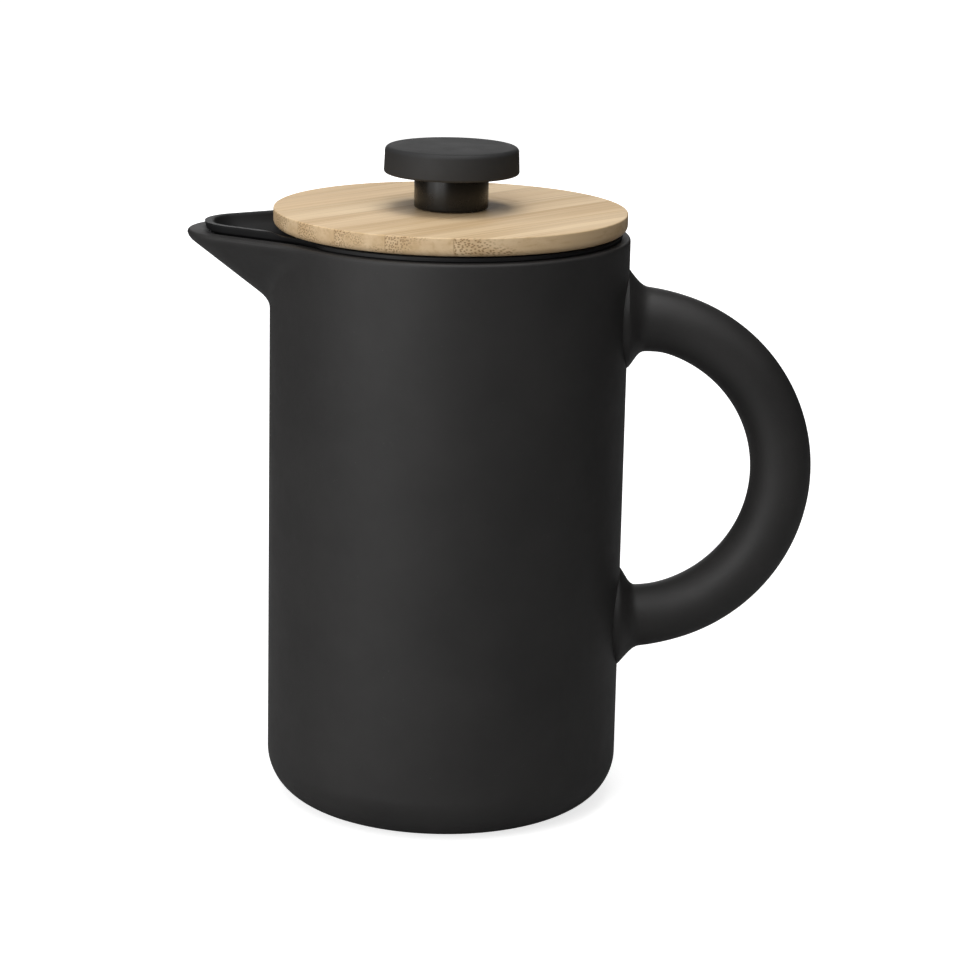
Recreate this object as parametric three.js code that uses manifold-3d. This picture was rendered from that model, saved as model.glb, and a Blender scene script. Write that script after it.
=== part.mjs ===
// A french press: stoneware pot with a pulled spout and a loop handle, bamboo lid, sprung plunger.
// Millimetres. +Z is up, the spout points along -X and the handle along +X.
// The origin is the centre of the pot's flat base, and the plunger is drawn pushed down.
import * as THREE from "three";
import { mergeVertices } from "three/addons/utils/BufferGeometryUtils.js";
import Module from "manifold-3d";

const wasm = await Module();
wasm.setup();

// ---------------------------------------------------------------- driving dimensions

const GAP = 0.3; // left between two pieces that touch
const RUNNING = 0.07; // radial clearance of a shaft that turns or slides in a hole
const ROUND = 48; // segments of a wide turned piece
const SMALL_ROUND = 32; // segments of a narrow one
const FULL_TURN = Math.PI * 2;
const SPARE = 1; // how far a cutting tool runs on past the face that it cuts
const SUNK = 0.2; // how far a joined piece stops inside the face that it joins
const degrees = THREE.MathUtils.degToRad;

const pot = {
  radius: 50,
  height: 162.5,
  wall: 4.2,
  floor: 6.2,
  baseCorner: 13.2,
  floorCorner: 9,
  rimEdge: 1,
  segments: 52,
};
const bore = pot.radius - pot.wall;

const spout = {
  tip: 73, // from the axis to the lip
  noseRadius: 17.7, // of the lip seen from above
  halfAngle: degrees(31.4), // of the V that runs from the nose to the pot
  slope: degrees(37.9), // of the underside, above the horizontal
  undersideReach: 70.66, // the underside passes through this distance from the axis
  undersideHeight: 158.8, // at this height
  taperStart: 35, // the nose would shrink to a point at this distance from the axis
  blend: 3, // width of the soft fillet where the spout grows out of the wall
  lipBlend: 1.6, // the same where the underside turns up into the lip
  lowest: 139, // the wall below this height is plain
  crowding: 0.45, // draws the pot's segments together on the spout's side
};

const handle = {
  x: 51,
  z: 96.4,
  loopRadius: 43.4,
  gripRadius: 8.57,
  flareRadius: 14.2, // where a root meets the wall
  flareLength: 6.4,
  buriedX: 47.2, // the roots end here, inside the wall
  steps: 24,
  halfSides: 9, // segments round half of the grip's section
};

const lid = {
  radius: 49.1,
  bottom: 164.2,
  top: 169.35,
  topEdge: 0.6,
  bottomEdge: 2,
  seatRadius: 7,
  seatDepth: 1.35,
};

const skirt = {
  inset: pot.wall + 0.8, // from the pot's outside to the skirt's outside
  thickness: 1.6,
  bottom: 136.5,
  top: lid.bottom - GAP,
  flangeRadius: 47.6,
  flangeBottom: pot.height + GAP,
  flangeFades: [degrees(46), degrees(36)], // towards the spout the flange shrinks between these angles
  channelLip: 0.2, // what is left of it along the pouring channel
  channelRise: 0.9, // the channel's edge stands this much higher than the flange
  channelRun: 3, // and reaches that height this far out from under the lid
  grooveLow: 139.4,
  grooveHigh: 142.6,
  grooveDepth: 1.1,
  edge: 0.5,
};
const skirtRadius = pot.radius - skirt.inset;
const web = { thickness: 1.6, radius: skirtRadius - 0.7 };
const hub = { radius: 8.5, bottom: 155 };
const stiffener = { count: 6, width: 1.6, depth: 5 };
const strainer = { bars: 13, spacing: degrees(5.2), width: 1.3, depth: 1.1, bottom: 143.6 };

const seal = { depth: 1.4, ribs: 2, valley: 0.98 };

const screw = {
  count: 3,
  circle: 24,
  firstAngle: degrees(30),
  shank: 1.5,
  length: 7.2,
  headRadius: 3.1,
  headHeight: 1.8,
  bossRadius: 4.2,
  bossDepth: 1.6,
  headEdge: 0.8,
  recess: 2,
  recessWidth: 0.8,
  recessDepth: 1,
};

const rod = { radius: 2.5, bottom: 10.5, top: 182, edge: 0.5 };
const guide = { radius: 4.2, bottom: 152.6, flangeRadius: 6.6, flangeHeight: 0.95 };
const clip = { groove: 3.7, play: 0.15, radius: 6.2, height: 0.9, bottom: 153.75, mouth: degrees(50) };

const knob = {
  stemRadius: 10.3,
  stemTop: 178.9,
  stemEdge: 0.6,
  spigotRadius: 6.5,
  spigotTop: 183.5,
  capRadius: 18.8,
  capTopRadius: 18.5,
  capTop: 186.7,
  capEdge: 1.3,
  capBottomEdge: 0.5,
  insertRadius: 4.4,
  insertBottom: 172.3,
  waistDepth: 0.6,
  waistHeight: 1.6,
};

const nut = { acrossFlats: 8, bottom: 10.8, height: 3.6 };
const washer = { radius: 6, height: 0.8 };
const crossPlate = {
  radius: 41.5,
  height: 1,
  holes: 8, // in each of two rings
  windowCircle: 29.05,
  windowRadius: 7.47,
  drainCircle: 14.94,
  drainRadius: 3.32,
};
const screen = { radius: 44.9, thickness: 0.5, rim: 3.3, corner: 1.2 };
const spiralPlate = {
  radius: 41.3,
  thickness: 0.8,
  rim: 3.4,
  corner: 1.4,
  holes: 8,
  holeCircle: 25.6,
  holeRadius: 5.37,
};
const edgeSpring = { circle: 42.95, section: 1.3, lift: 0.1 };
const rodHub = { radius: 8, height: 8, neck: 4.2, rim: 1.5 };

// The filter pieces are stacked on the rod from the nut upwards.
const washerBottom = nut.bottom + nut.height + GAP;
const crossBottom = washerBottom + washer.height + GAP;
const screenBottom = crossBottom + crossPlate.height + GAP;
const spiralBottom = screenBottom + screen.thickness + GAP;
const rodHubBottom = spiralBottom + spiralPlate.thickness + GAP;
const rodHole = rod.radius + GAP;

// ---------------------------------------------------------------- outlines and solids

/** Points [radius, height] along an arc, with angles in degrees from the outward direction. */
function arc(radius, height, size, from, to, steps = 5) {
  const points = [];
  for (let step = 0; step <= steps; step += 1) {
    const angle = degrees(from + ((to - from) * step) / steps);
    points.push([radius + size * Math.cos(angle), height + size * Math.sin(angle)]);
  }
  return points;
}

/** Points [radius, height] spread evenly up or down a plain wall. */
function wallPoints(radius, from, to, steps = 6) {
  const points = [];
  for (let step = 0; step <= steps; step += 1) {
    points.push([radius, from + ((to - from) * step) / steps]);
  }
  return points;
}

/** Turns an outline of [radius, height] points about Z. */
function turned(outline, segments = ROUND) {
  const points = outline.map(([radius, height]) => new THREE.Vector2(radius, height));
  return new THREE.LatheGeometry(points, segments).rotateX(Math.PI / 2);
}

/** Turns an outline that goes round a section clear of the axis, closing it on itself. */
function turnedRing(outline, segments = ROUND) {
  return turned([...outline, outline[0]], segments);
}

/** An upright cylinder that stands on the height bottom. */
function post(radius, bottom, top, segments = 24) {
  const height = top - bottom;
  const geometry = new THREE.CylinderGeometry(radius, radius, height, segments);
  return geometry.rotateX(Math.PI / 2).translate(0, 0, bottom + height / 2);
}

/** A flat shape given a thickness upwards from the height bottom. */
function plate(shape, bottom, thickness, curveSegments = 7) {
  const options = { depth: thickness, bevelEnabled: false, curveSegments };
  return new THREE.ExtrudeGeometry(shape, options).translate(0, 0, bottom);
}

function toSolid(geometry) {
  const bare = geometry.index ? geometry.toNonIndexed() : geometry.clone();
  bare.deleteAttribute("normal");
  bare.deleteAttribute("uv");
  const merged = mergeVertices(bare, 1e-4);
  const mesh = new wasm.Mesh({
    numProp: 3,
    vertProperties: merged.attributes.position.array,
    triVerts: new Uint32Array(merged.index.array),
  });
  return new wasm.Manifold(mesh);
}

function toGeometry(solid) {
  const mesh = solid.getMesh();
  const geometry = new THREE.BufferGeometry();
  geometry.setAttribute("position", new THREE.BufferAttribute(mesh.vertProperties, 3));
  geometry.setIndex(new THREE.BufferAttribute(mesh.triVerts, 1));
  geometry.computeVertexNormals();
  return geometry;
}

/** Joins some geometries to a first one, then cuts others out of the result. */
function built(first, joined = [], cut = []) {
  let solid = toSolid(first);
  for (const geometry of joined) {
    solid = solid.add(toSolid(geometry));
  }
  for (const geometry of cut) {
    solid = solid.subtract(toSolid(geometry));
  }
  return toGeometry(solid);
}

/** Calls make(angle) for each of count even steps round the axis. */
function around(count, make, firstAngle = 0) {
  return Array.from({ length: count }, (_, step) => make(firstAngle + (FULL_TURN * step) / count));
}

// ---------------------------------------------------------------- the spout's form

function smoothMax(first, second, width) {
  const overlap = Math.max(width - Math.abs(first - second), 0);
  return Math.max(first, second) + overlap ** 2 / (4 * width);
}

function smoothMin(first, second, width) {
  return -smoothMax(-first, -second, width);
}

/** How far the spout stands out at a height, on a skin that lies inset inside the pot's outside. */
function spoutReach(height, inset) {
  const rise = height - spout.undersideHeight;
  const underside = spout.undersideReach + rise / Math.tan(spout.slope) - inset / Math.sin(spout.slope);
  return smoothMin(underside, spout.tip - inset, spout.lipBlend);
}

/** Distance from the axis to a round-nosed V at an angle from the spout's direction. */
function noseDistance(angle, reach, noseRadius) {
  const turn = Math.abs(angle);
  const centre = reach - noseRadius;
  const tangentX = centre + noseRadius * Math.sin(spout.halfAngle);
  const tangentY = noseRadius * Math.cos(spout.halfAngle);
  if (turn < Math.atan2(tangentY, tangentX)) {
    return centre * Math.cos(turn) + Math.sqrt(noseRadius ** 2 - (centre * Math.sin(turn)) ** 2);
  }
  const sideOffset = centre * Math.sin(spout.halfAngle) + noseRadius;
  return sideOffset / Math.sin(Math.min(spout.halfAngle + turn, Math.PI / 2));
}

/** Distance from the axis to the skin that lies inset inside the pot's outside. */
function skinDistance(angle, height, inset) {
  const plain = pot.radius - inset;
  const reach = spoutReach(height, inset);
  if (reach < plain - spout.blend) {
    return plain;
  }
  const taper = (reach + inset - spout.taperStart) / (spout.tip - spout.taperStart);
  const noseRadius = spout.noseRadius * taper - inset;
  return smoothMax(plain, noseDistance(angle, reach, noseRadius), spout.blend);
}

/**
 * Moves a turned geometry's points out so that its skins follow the spout. The functions insetAt and
 * heightAt say where a point goes that starts at an inset, an angle and a height.
 */
function shapedToSpout(geometry, insetAt = (inset) => inset, heightAt = (height) => height) {
  const position = geometry.attributes.position;
  for (let index = 0; index < position.count; index += 1) {
    const x = position.getX(index);
    const y = position.getY(index);
    const height = position.getZ(index);
    const even = Math.atan2(y, -x);
    const angle = even - spout.crowding * Math.sin(even);
    const inset = insetAt(pot.radius - Math.hypot(x, y), angle);
    const distance = skinDistance(angle, height, inset);
    const across = distance * Math.sin(angle);
    position.setXYZ(index, -distance * Math.cos(angle), across, heightAt(height, distance));
  }
  return geometry;
}

// ---------------------------------------------------------------- the pot

/** The half circle of the handle, run on a little so that both ends lie inside the wall. */
class HandleLoop extends THREE.Curve {
  getPoint(t, target = new THREE.Vector3()) {
    const overrun = Math.asin((handle.x - handle.buriedX) / handle.loopRadius);
    const angle = Math.PI / 2 + overrun - t * (Math.PI + 2 * overrun);
    const x = handle.x + handle.loopRadius * Math.cos(angle);
    return target.set(x, 0, handle.z + handle.loopRadius * Math.sin(angle));
  }
}

function handleGrip() {
  const section = new THREE.Shape().absarc(0, 0, handle.gripRadius, 0, FULL_TURN);
  const options = {
    steps: handle.steps,
    curveSegments: handle.halfSides,
    extrudePath: new HandleLoop(),
  };
  return new THREE.ExtrudeGeometry(section, options);
}

/** The trumpet at one end of the handle, turned about a line along X. */
function handleRoot(height) {
  const outline = [[0, 0]];
  const buried = pot.radius - handle.buriedX;
  outline.push([handle.flareRadius, 0]);
  const steps = 5;
  for (let step = 0; step <= steps; step += 1) {
    const left = 1 - step / steps;
    const radius = handle.gripRadius - GAP + (handle.flareRadius - handle.gripRadius) * left ** 2;
    outline.push([radius, buried + (handle.flareLength * step) / steps]);
  }
  outline.push([0, buried + handle.flareLength]);
  return turned(outline, 24).rotateY(Math.PI / 2).translate(handle.buriedX, 0, height);
}

function potGeometry() {
  const { radius, height, floor, baseCorner, floorCorner, rimEdge } = pot;
  const edgeHeight = height - rimEdge;
  const outline = [
    [0, 0],
    ...arc(radius - baseCorner, baseCorner, baseCorner, -90, 0, 6),
    ...wallPoints(radius, spout.lowest, edgeHeight),
    ...arc(radius - rimEdge, edgeHeight, rimEdge, 30, 90, 2),
    ...arc(bore + rimEdge, edgeHeight, rimEdge, 90, 150, 2),
    ...wallPoints(bore, edgeHeight, spout.lowest),
    ...arc(bore - floorCorner, floor + floorCorner, floorCorner, 0, -90, 5),
    [0, floor],
  ];
  const shell = shapedToSpout(turned(outline, pot.segments));
  const roots = [handle.z - handle.loopRadius, handle.z + handle.loopRadius].map(handleRoot);
  return built(shell, [handleGrip(), ...roots]);
}

// ---------------------------------------------------------------- the lid

function screwPlace(geometry, angle) {
  return geometry.translate(screw.circle * Math.cos(angle), screw.circle * Math.sin(angle), 0);
}

const bossBottom = skirt.top - web.thickness - screw.bossDepth;
const headTop = bossBottom - GAP;
const screwTip = headTop + screw.length;

function lidGeometry() {
  const { radius, bottom, top, topEdge, bottomEdge, seatRadius, seatDepth } = lid;
  const hole = guide.radius + RUNNING;
  const disc = turnedRing([
    [hole, bottom],
    ...arc(radius - bottomEdge, bottom + bottomEdge, bottomEdge, -90, 0, 3),
    ...arc(radius - topEdge, top - topEdge, topEdge, 0, 90, 2),
    [seatRadius, top],
    [seatRadius, top - seatDepth],
    [hole, top - seatDepth],
  ]);
  const pilot = (angle) => {
    const drill = post(screw.shank + GAP, bottom - SPARE, screwTip + GAP, 12);
    return screwPlace(drill, angle);
  };
  return built(disc, [], around(screw.count, pilot, screw.firstAngle));
}

/** The collar's flange, which stands out past the skirt, fades away along the pouring channel. */
function flangeInset(inset, angle) {
  if (inset >= skirt.inset - skirt.channelLip) {
    return inset;
  }
  const [whole, gone] = skirt.flangeFades;
  const faded = THREE.MathUtils.smoothstep(-Math.abs(angle), -whole, -gone);
  return THREE.MathUtils.lerp(inset, skirt.inset - skirt.channelLip, faded);
}

/** The channel's edge rises where it comes out from under the lid. */
function channelHeight(height, distance) {
  if (height < skirt.flangeBottom) {
    return height;
  }
  const clear = lid.radius + GAP;
  const run = skirt.channelRun;
  const share = (height - skirt.flangeBottom) / (skirt.top - skirt.flangeBottom);
  return height + skirt.channelRise * share * THREE.MathUtils.smoothstep(distance, clear, clear + run);
}

/** The plastic insert's wall: flange on the rim, seal groove, and a channel lining the spout. */
function skirtShell() {
  const inner = skirtRadius - skirt.thickness;
  const groove = skirtRadius - skirt.grooveDepth;
  const { bottom, top, edge, flangeRadius, flangeBottom, grooveLow, grooveHigh } = skirt;
  const outline = [
    [inner + edge, bottom],
    [skirtRadius - edge, bottom],
    [skirtRadius, bottom + edge],
    [skirtRadius, grooveLow],
    [groove, grooveLow],
    [groove, grooveHigh],
    [skirtRadius, grooveHigh],
    ...wallPoints(skirtRadius, grooveHigh + SPARE, flangeBottom),
    [flangeRadius, flangeBottom],
    [flangeRadius, top - edge],
    [flangeRadius - edge, top],
    [inner + edge, top],
    ...wallPoints(inner, top - edge, grooveHigh + SPARE),
    [inner, bottom + edge],
  ];
  return shapedToSpout(turnedRing(outline, pot.segments), flangeInset, channelHeight);
}

function stiffeningRib(angle) {
  const { width, depth } = stiffener;
  const from = hub.radius - SPARE;
  const length = web.radius - from;
  const rib = new THREE.BoxGeometry(length, width, depth);
  const height = skirt.top - web.thickness / 2 - depth / 2;
  return rib.translate(from + length / 2, 0, height).rotateZ(angle);
}

/** One upright bar of the strainer that stands across the mouth of the spout. */
function strainerBar(index) {
  const { bars, spacing, width, depth, bottom } = strainer;
  const top = skirt.top - web.thickness / 2;
  const bar = new THREE.BoxGeometry(depth, width, top - bottom);
  const place = skirtRadius - skirt.thickness / 2;
  const angle = Math.PI + (index - (bars - 1) / 2) * spacing;
  return bar.translate(place, 0, (top + bottom) / 2).rotateZ(angle);
}

function collarGeometry() {
  const { top } = skirt;
  const webBottom = top - web.thickness;
  const boss = (angle) => screwPlace(post(screw.bossRadius, bossBottom, top - SUNK, 16), angle);
  const clearance = (angle) => {
    return screwPlace(post(screw.shank + GAP, bossBottom - SPARE, top + SPARE, 12), angle);
  };
  const joined = [
    post(web.radius, webBottom, top, ROUND),
    post(hub.radius, hub.bottom, top - SUNK),
    ...around(stiffener.count, stiffeningRib),
    ...around(screw.count, boss, screw.firstAngle),
    ...Array.from({ length: strainer.bars }, (_, index) => strainerBar(index)),
  ];
  const cut = [
    post(guide.radius + RUNNING, hub.bottom - SPARE, top + SPARE, SMALL_ROUND),
    ...around(screw.count, clearance, screw.firstAngle),
  ];
  return built(skirtShell(), joined, cut);
}

/** A ribbed silicone band that sits in the skirt's groove. */
function sealGeometry() {
  const { depth, ribs, valley } = seal;
  const inner = skirtRadius - skirt.grooveDepth + GAP;
  const low = skirt.grooveLow + GAP;
  const pitch = (skirt.grooveHigh - GAP - low) / ribs;
  const outline = [[inner, low]];
  for (let rib = 0; rib < ribs; rib += 1) {
    outline.push([inner + valley, low + pitch * rib]);
    outline.push([inner + depth, low + pitch * rib + pitch / 2]);
  }
  outline.push([inner + valley, low + pitch * ribs], [inner, low + pitch * ribs]);
  return turnedRing(outline);
}

function screwGeometry() {
  const { shank, headRadius, headHeight, headEdge, recess, recessWidth, recessDepth } = screw;
  const bottom = headTop - headHeight;
  const body = turned([
    [0, bottom],
    [headRadius - headEdge, bottom],
    [headRadius, bottom + headEdge],
    [headRadius, headTop],
    [shank, headTop],
    [shank, screwTip - shank],
    [0, screwTip],
  ], 16);
  const slot = new THREE.BoxGeometry(recess * 2, recessWidth, recessDepth * 2);
  slot.translate(0, 0, bottom);
  return built(body, [], [slot, slot.clone().rotateZ(Math.PI / 2)]);
}

// ---------------------------------------------------------------- the rod's guide

function guideGeometry() {
  const { radius, bottom, flangeRadius, flangeHeight } = guide;
  const flangeBottom = lid.top - lid.seatDepth + GAP / 2;
  const inner = rod.radius + RUNNING;
  const grooveLow = clip.bottom - clip.play;
  const grooveHigh = clip.bottom + clip.height + clip.play;
  return turnedRing([
    [inner, bottom],
    [radius, bottom],
    [radius, grooveLow],
    [clip.groove, grooveLow],
    [clip.groove, grooveHigh],
    [radius, grooveHigh],
    [radius, flangeBottom],
    [flangeRadius, flangeBottom],
    [flangeRadius, flangeBottom + flangeHeight],
    [inner, flangeBottom + flangeHeight],
  ], SMALL_ROUND);
}

/** An open retaining ring that snaps into the guide's groove under the hub. */
function clipGeometry() {
  const inner = clip.groove + RUNNING;
  const from = clip.mouth / 2;
  const to = FULL_TURN - clip.mouth / 2;
  const shape = new THREE.Shape();
  shape.absarc(0, 0, clip.radius, from, to, false);
  shape.absarc(0, 0, inner, to, from, true);
  return plate(shape, clip.bottom, clip.height);
}

// ---------------------------------------------------------------- the knob and the rod

function stemGeometry() {
  const { stemRadius, stemTop, stemEdge, spigotRadius, spigotTop, insertRadius, insertBottom } = knob;
  const bottom = lid.top + GAP;
  const pocket = insertRadius + GAP;
  return turnedRing([
    [rodHole, bottom],
    [stemRadius - stemEdge, bottom],
    [stemRadius, bottom + stemEdge],
    [stemRadius, stemTop],
    [spigotRadius, stemTop],
    [spigotRadius, spigotTop],
    [pocket, spigotTop],
    [pocket, insertBottom - GAP],
    [rodHole, insertBottom - GAP],
  ], SMALL_ROUND);
}

function capGeometry() {
  const { capRadius, capTopRadius, capTop, capEdge, capBottomEdge } = knob;
  const { spigotRadius, spigotTop, stemTop } = knob;
  const bottom = stemTop + GAP;
  const socket = spigotRadius + GAP;
  return turned([
    [0, spigotTop + GAP],
    [socket, spigotTop + GAP],
    [socket, bottom],
    [capRadius - capBottomEdge, bottom],
    [capRadius, bottom + capBottomEdge],
    ...arc(capTopRadius - capEdge, capTop - capEdge, capEdge, 0, 90, 3),
    [0, capTop],
  ]);
}

function insertGeometry() {
  const { insertRadius, insertBottom, spigotTop, waistDepth, waistHeight } = knob;
  const waist = insertRadius - waistDepth;
  const waistLow = (insertBottom + spigotTop - waistHeight) / 2;
  const waistHigh = waistLow + waistHeight;
  return turnedRing([
    [rodHole, insertBottom],
    [insertRadius, insertBottom],
    [insertRadius, waistLow],
    [waist, waistLow],
    [waist, waistHigh],
    [insertRadius, waistHigh],
    [insertRadius, spigotTop - GAP],
    [rodHole, spigotTop - GAP],
  ], 24);
}

function rodGeometry() {
  const { radius, bottom, top, edge } = rod;
  return turned([
    [0, bottom],
    [radius - edge, bottom],
    [radius, bottom + edge],
    [radius, top - edge],
    [radius - edge, top],
    [0, top],
  ], 24);
}

// ---------------------------------------------------------------- the filter stack

function nutGeometry() {
  const corner = nut.acrossFlats / 2 / Math.cos(Math.PI / 6);
  const shape = new THREE.Shape(
    around(6, (angle) => new THREE.Vector2(corner * Math.cos(angle), corner * Math.sin(angle))),
  );
  shape.holes.push(new THREE.Path().absarc(0, 0, rodHole, 0, FULL_TURN, true));
  return plate(shape, nut.bottom, nut.height);
}

function washerGeometry() {
  return turnedRing([
    [rodHole, washerBottom],
    [washer.radius, washerBottom],
    [washer.radius, washerBottom + washer.height],
    [rodHole, washerBottom + washer.height],
  ], 24);
}

function roundHole(circle, angle, radius) {
  const path = new THREE.Path();
  return path.absarc(circle * Math.cos(angle), circle * Math.sin(angle), radius, 0, FULL_TURN, true);
}

/** The stiff bottom plate, with a ring of large windows and a ring of small ones. */
function crossPlateGeometry() {
  const { radius, height, holes, windowCircle, windowRadius, drainCircle, drainRadius } = crossPlate;
  const shape = new THREE.Shape().absarc(0, 0, radius, 0, FULL_TURN);
  shape.holes.push(
    roundHole(0, 0, rodHole),
    ...around(holes, (angle) => roundHole(windowCircle, angle, windowRadius)),
    ...around(holes, (angle) => roundHole(drainCircle, angle, drainRadius), Math.PI / holes),
  );
  return plate(shape, crossBottom, height, 10);
}

/** The fine screen: a flat disc whose edge turns up round the edge spring. */
function screenGeometry() {
  const { radius, thickness, rim, corner } = screen;
  const top = screenBottom + rim;
  const inner = corner - thickness;
  const turnUp = screenBottom + corner;
  return turnedRing([
    [rodHole, screenBottom],
    ...arc(radius - corner, turnUp, corner, -90, 0, 2),
    [radius, top],
    [radius - thickness, top],
    ...arc(radius - corner, turnUp, inner, 0, -90, 2),
    [rodHole, screenBottom + thickness],
  ]);
}

/** The dished plate that carries the edge spring, with a ring of holes. */
function spiralPlateGeometry() {
  const { radius, thickness, rim, corner, holes, holeCircle, holeRadius } = spiralPlate;
  const top = spiralBottom + rim;
  const turnUp = spiralBottom + corner;
  const dish = turnedRing([
    [rodHole, spiralBottom],
    ...arc(radius - corner, turnUp, corner, -90, 0, 2),
    [radius, top],
    [radius - thickness, top],
    ...arc(radius - corner, turnUp, corner - thickness, 0, -90, 2),
    [rodHole, spiralBottom + thickness],
  ]);
  const drill = (angle) => {
    const hole = post(holeRadius, spiralBottom - SPARE, spiralBottom + thickness + SPARE, 12);
    return hole.translate(holeCircle * Math.cos(angle), holeCircle * Math.sin(angle), 0);
  };
  return built(dish, [], around(holes, drill));
}

function edgeSpringGeometry() {
  const ring = new THREE.TorusGeometry(edgeSpring.circle, edgeSpring.section, 8, ROUND);
  return ring.translate(0, 0, spiralBottom + edgeSpring.section + edgeSpring.lift);
}

/** The domed nut that clamps the stack from above. */
function rodHubGeometry() {
  const { radius, height, neck, rim } = rodHub;
  const domeStart = rodHubBottom + rim;
  return turnedRing([
    [rodHole, rodHubBottom],
    [radius, rodHubBottom],
    [radius, domeStart],
    ...arc(neck, domeStart, radius - neck, 10, 80, 4),
    [neck, rodHubBottom + height],
    [rodHole, rodHubBottom + height],
  ], 24);
}

// ---------------------------------------------------------------- materials and the assembly

function surface(color, roughness, metalness = 0) {
  return new THREE.MeshStandardMaterial({ color, roughness, metalness });
}

const stoneware = surface(0x1f1e1e, 0.62);
const bamboo = surface(0xcdb189, 0.55);
const blackPlastic = surface(0x141415, 0.42);
const knobPlastic = surface(0x2b2b2d, 0.6);
const silicone = surface(0x333436, 0.75);
const steel = surface(0xb9bbbe, 0.28, 1);
const brushedSteel = surface(0xa6a8ab, 0.4, 1);
const brass = surface(0xb08d4a, 0.35, 1);

function piece(name, geometry, material) {
  const mesh = new THREE.Mesh(geometry, material);
  mesh.name = name;
  return mesh;
}

const press = new THREE.Group();
press.add(
  piece("pot", potGeometry(), stoneware),
  piece("lid_disc", lidGeometry(), bamboo),
  piece("lid_collar", collarGeometry(), blackPlastic),
  piece("lid_seal", sealGeometry(), silicone),
  piece("rod_guide", guideGeometry(), steel),
  piece("guide_clip", clipGeometry(), brushedSteel),
  piece("knob_cap", capGeometry(), knobPlastic),
  piece("knob_stem", stemGeometry(), blackPlastic),
  piece("knob_insert", insertGeometry(), brass),
  piece("plunger_rod", rodGeometry(), steel),
  piece("rod_hub", rodHubGeometry(), steel),
  piece("spiral_plate", spiralPlateGeometry(), brushedSteel),
  piece("edge_spring", edgeSpringGeometry(), steel),
  piece("mesh_screen", screenGeometry(), brushedSteel),
  piece("cross_plate", crossPlateGeometry(), brushedSteel),
  piece("washer", washerGeometry(), steel),
  piece("lock_nut", nutGeometry(), steel),
);

around(screw.count, (angle) => angle, screw.firstAngle).forEach((angle, index) => {
  const mesh = piece(`lid_screw_${index + 1}`, screwGeometry(), steel);
  mesh.position.set(screw.circle * Math.cos(angle), screw.circle * Math.sin(angle), 0);
  press.add(mesh);
});

export default press;
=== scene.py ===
"""Looks for the french press: smooth meshes, procedural materials, studio light and the camera.

Metres, +Z up, spout along -X and handle along +X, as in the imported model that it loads.
"""

import math

import bmesh
import bpy
from mathutils import Matrix, Vector


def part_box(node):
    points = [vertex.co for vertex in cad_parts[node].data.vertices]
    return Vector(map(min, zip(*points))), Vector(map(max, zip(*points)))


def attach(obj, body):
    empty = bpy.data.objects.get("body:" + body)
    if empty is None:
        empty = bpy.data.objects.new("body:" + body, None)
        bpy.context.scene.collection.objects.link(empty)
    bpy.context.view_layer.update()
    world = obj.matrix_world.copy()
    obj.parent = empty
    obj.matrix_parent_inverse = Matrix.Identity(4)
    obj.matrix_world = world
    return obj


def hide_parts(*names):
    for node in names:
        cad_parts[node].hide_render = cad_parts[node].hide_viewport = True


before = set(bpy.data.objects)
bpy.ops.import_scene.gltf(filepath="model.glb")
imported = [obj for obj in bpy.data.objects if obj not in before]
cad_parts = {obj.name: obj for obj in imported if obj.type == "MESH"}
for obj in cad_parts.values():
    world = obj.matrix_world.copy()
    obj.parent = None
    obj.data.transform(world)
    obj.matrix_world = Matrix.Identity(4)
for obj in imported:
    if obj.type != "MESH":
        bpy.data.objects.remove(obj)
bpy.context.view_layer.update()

MM = 0.001
TAU = math.tau
scene = bpy.context.scene

# ---------------- sizes

POT_LOW, POT_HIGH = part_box("pot")
POT_RADIUS = 50 * MM
POT_HEIGHT = POT_HIGH.z
POT_WALL = 4.2 * MM
POT_FLOOR = 6.2 * MM
BASE_CORNER = 13.2 * MM
FLOOR_CORNER = 9 * MM
RIM_EDGE = 0.9 * MM
POT_SEGMENTS = 320

SPOUT_TIP = -POT_LOW.x
SPOUT_NOSE = 17.7 * MM
SPOUT_HALF_ANGLE = math.radians(31.4)
SPOUT_SLOPE = math.radians(37.9)
SPOUT_UNDERSIDE = (70.66 * MM, 158.8 * MM)  # a point on the sloping underside: reach, height
SPOUT_TAPER_START = 35 * MM
SPOUT_BLEND = 3 * MM
SPOUT_LIP_BLEND = 1.6 * MM
SPOUT_LOWEST = 139 * MM
SPOUT_CROWDING = 0.4  # draws the turned segments together on the spout's side

HANDLE_X = 51 * MM
HANDLE_Z = 96.4 * MM
HANDLE_LOOP = 43.4 * MM
HANDLE_GRIP = 8.57 * MM
HANDLE_FLARE = 14 * MM  # radius where a root meets the wall
HANDLE_FLARE_SLOPE = 1.32
HANDLE_FLARE_BLEND = 1.8 * MM
HANDLE_BURIED_X = 47.2 * MM
HANDLE_SWELL_TOP = 0.7 * MM  # the grip thickens by this much towards its upper root
HANDLE_SWELL_BOTTOM = 0.35 * MM  # and this much towards its lower one
HANDLE_SWELL_END = 64 * MM
HANDLE_SAG = 0.4 * MM  # the upper root sits this much below the loop's circle

LID_LOW, LID_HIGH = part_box("lid_disc")
LID_RADIUS = 49.1 * MM
LID_TOP_EDGE = 0.4 * MM
LID_BOTTOM_EDGE = 2 * MM
LID_SEAT_RADIUS = 7 * MM
LID_SEAT_DEPTH = 1.35 * MM

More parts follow.
